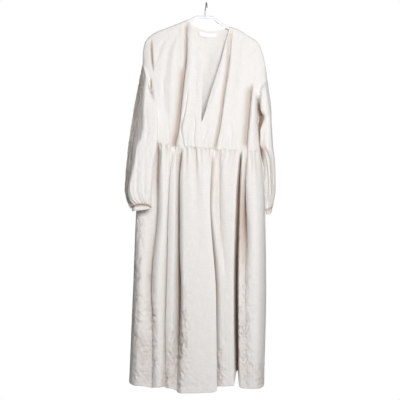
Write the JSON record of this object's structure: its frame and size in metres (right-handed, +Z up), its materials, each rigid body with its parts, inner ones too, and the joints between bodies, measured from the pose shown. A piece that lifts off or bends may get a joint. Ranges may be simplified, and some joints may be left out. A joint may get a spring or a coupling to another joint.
{
  "type": "wrap dress on a hanger",
  "caption": "Long cream wrap dress with a crossed V neck, dropped balloon sleeves and a gathered skirt, hanging on a flat white hanger with a steel hook.",
  "frame": {"origin": "the point inside the hook's crown where it hangs on a rail or peg", "axes": "+Z up, +X to the right seen from the front, the dress's front faces -Y"},
  "size_m": [0.5562, 0.194, 1.4267],
  "materials": {
    "cotton_linen": "washed, slightly crinkled plain weave",
    "label_tape": "woven satin tape",
    "hanger_plastic": "smooth moulded",
    "hook_steel": "dark polished wire"
  },
  "bodies": {
    "root": {"bodice_front_right": "cotton_linen", "bodice_front_left": "cotton_linen", "bodice_back": "cotton_linen", "skirt_front_right": "cotton_linen", "skirt_front_left": "cotton_linen", "skirt_back": "cotton_linen", "sleeve_right": "cotton_linen", "sleeve_left": "cotton_linen", "cuff_right": "cotton_linen", "cuff_left": "cotton_linen", "neck_label": "label_tape", "hanger": "hanger_plastic", "hook": "hook_steel"}
  },
  "joints": []
}
